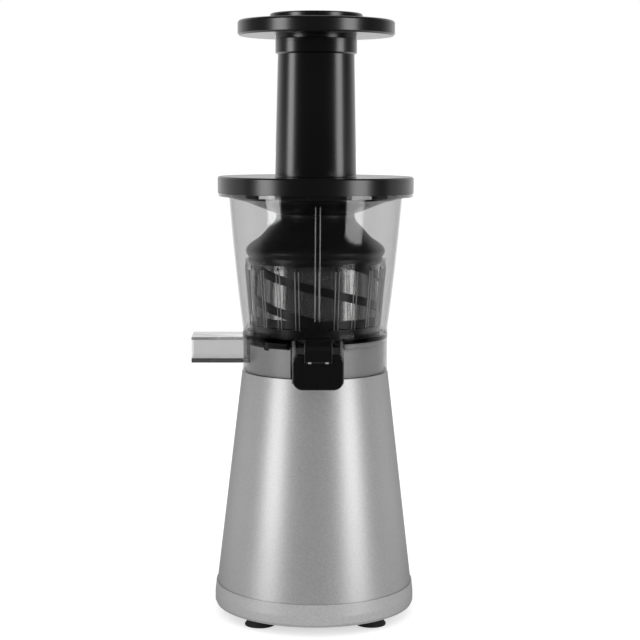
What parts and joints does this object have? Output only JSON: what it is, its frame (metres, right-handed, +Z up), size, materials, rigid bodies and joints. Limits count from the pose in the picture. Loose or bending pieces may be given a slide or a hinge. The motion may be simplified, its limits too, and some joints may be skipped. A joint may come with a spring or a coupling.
{
  "type": "cold press juicer",
  "caption": "Vertical cold press juicer: tapered silver motor base, clear bowl with strainer, auger, side pulp chute and capped front spout, black lid with feed tube and pusher.",
  "frame": {"origin": "on the juicer's main axis, in the plane that its feet stand on", "axes": "+Z up along the main axis, -Y towards the juice spout at the front, -X towards the pulp chute"},
  "size_m": [0.1604, 0.1659, 0.43],
  "materials": {
    "silver_paint": "fine silver metallic paint, satin",
    "foot_rubber": "matt black rubber",
    "screw_steel": "zinc-plated",
    "ground_steel": "ground steel",
    "motor_steel": "drawn and zinc-plated",
    "core_steel": "stacked steel sheets",
    "magnet_ferrite": "dull grey ferrite",
    "copper": "enamelled copper",
    "carbon": "pressed carbon",
    "gear_plastic": "natural acetal",
    "gear_steel": "sintered steel",
    "bronze": "oil-filled bronze",
    "inner_plastic": "moulded dark plastic",
    "rocker_plastic": "black, glossy",
    "board_green": "lacquered board",
    "components": "capacitor, relay, heat sink and plug",
    "smoke_clear": "clear, lightly smoked",
    "cage_clear": "clear, lightly smoked",
    "black_gloss": "black, glossy",
    "black_satin": "black, satin",
    "silicone": "dark translucent silicone",
    "mesh_steel": "bright stainless, finely pierced"
  },
  "bodies": {
    "base": {"base_housing": "silver_paint", "bowl_seat": "silver_paint", "bottom_cover": "silver_paint", "feet": "foot_rubber", "cover_screws": "screw_steel", "gearbox_case": "inner_plastic", "gearbox_lid": "inner_plastic", "gearbox_screws": "screw_steel", "motor_screws": "screw_steel", "motor_can": "motor_steel", "motor_end_bell": "inner_plastic", "motor_brushes": "carbon", "motor_magnets": "magnet_ferrite", "gear_arbors": "ground_steel", "drive_bushings": "bronze", "shaft_seal": "foot_rubber", "switch_frame": "inner_plastic", "rocker_pin": "ground_steel", "cord_gland": "foot_rubber", "circuit_board": "board_green", "board_components": "components", "bowl_sensor": "inner_plastic"},
    "rotor": {"rotor_shaft": "ground_steel", "motor_pinion": "ground_steel", "rotor_core": "core_steel", "rotor_windings": "copper", "commutator": "copper", "cooling_fan": "inner_plastic"},
    "stage_a": {"reduction_gear_a": "gear_plastic"},
    "stage_b": {"reduction_gear_b": "gear_plastic"},
    "drive": {"output_gear": "gear_steel", "drive_shaft": "ground_steel"},
    "rocker": {"power_rocker": "rocker_plastic"},
    "bowl_unit": {"bowl": "smoke_clear", "chute_and_spout": "smoke_clear", "cap_hinge_pin": "ground_steel", "bowl_seal": "foot_rubber", "outlet_baffle": "black_satin", "pulp_plug": "silicone", "interlock_magnet": "magnet_ferrite", "idler_pin": "ground_steel", "strainer_frame": "black_satin", "strainer_foot": "black_satin", "strainer_mesh": "mesh_steel"},
    "idler": {"idler_gear": "gear_plastic"},
    "cage": {"wiper_cage": "cage_clear", "cage_ring_gear": "black_satin", "wiper_blades": "silicone"},
    "auger": {"auger_screw": "black_satin", "auger_gear": "black_satin", "auger_socket": "ground_steel"},
    "cap": {"spout_cap": "black_gloss", "spout_cap_seal": "silicone"},
    "lid": {"lid_top": "black_gloss", "feed_tube": "black_gloss", "lid_funnel": "black_gloss", "lid_seal": "foot_rubber"},
    "pusher": {"pusher_grip": "black_gloss", "pusher_plate": "black_gloss", "pusher_stem": "black_gloss"}
  },
  "joints": [
    {"name": "rotor_spin", "type": "hinge", "parent": "base", "child": "rotor", "pos_m": [0, 0, 0.06], "axis": [0, 0, 1], "continuous": true},
    {"name": "first_reduction", "type": "hinge", "parent": "base", "child": "stage_a", "pos_m": [-0.02333, 0.01204, 0.101], "axis": [0, 0, 1], "continuous": true},
    {"name": "second_reduction", "type": "hinge", "parent": "base", "child": "stage_b", "pos_m": [-0.0272, -0.01402, 0.108], "axis": [0, 0, 1], "continuous": true},
    {"name": "drive_spin", "type": "hinge", "parent": "base", "child": "drive", "pos_m": [0, 0, 0.18], "axis": [0, 0, 1], "continuous": true},
    {"name": "power_rocker", "type": "hinge", "parent": "base", "child": "rocker", "pos_m": [0, 0.06489, 0.073], "axis": [1, 0, 0], "range_deg": [-8, 8]},
    {"name": "bowl_lift", "type": "slide", "parent": "base", "child": "bowl_unit", "axis": [0, 0, 1], "range_m": [0, 0.055]},
    {"name": "idler_spin", "type": "hinge", "parent": "bowl_unit", "child": "idler", "pos_m": [0.028, 0, 0.207], "axis": [0, 0, 1], "continuous": true},
    {"name": "cage_spin", "type": "hinge", "parent": "bowl_unit", "child": "cage", "pos_m": [0, 0, 0.207], "axis": [0, 0, 1], "continuous": true},
    {"name": "auger_spin", "type": "hinge", "parent": "bowl_unit", "child": "auger", "pos_m": [0, 0, 0.209], "axis": [0, 0, 1], "continuous": true},
    {"name": "spout_cap_hinge", "type": "hinge", "parent": "bowl_unit", "child": "cap", "pos_m": [0, -0.066, 0.20583], "axis": [-1, 0, 0], "range_deg": [0, 100]},
    {"name": "lid_lift", "type": "slide", "parent": "bowl_unit", "child": "lid", "axis": [0, 0, 1], "range_m": [0, 0.04]},
    {"name": "pusher_slide", "type": "slide", "parent": "lid", "child": "pusher", "axis": [0, 0, 1], "range_m": [0, 0.095]}
  ],
  "couplings": [
    {"joint": "first_reduction", "follows": "rotor_spin", "ratio": -0.25},
    {"joint": "second_reduction", "follows": "rotor_spin", "ratio": 0.072917},
    {"joint": "drive_spin", "follows": "rotor_spin", "ratio": -0.022436},
    {"joint": "auger_spin", "follows": "rotor_spin", "ratio": -0.022436},
    {"joint": "idler_spin", "follows": "rotor_spin", "ratio": 0.029915},
    {"joint": "cage_spin", "follows": "rotor_spin", "ratio": 0.0089744}
  ]
}
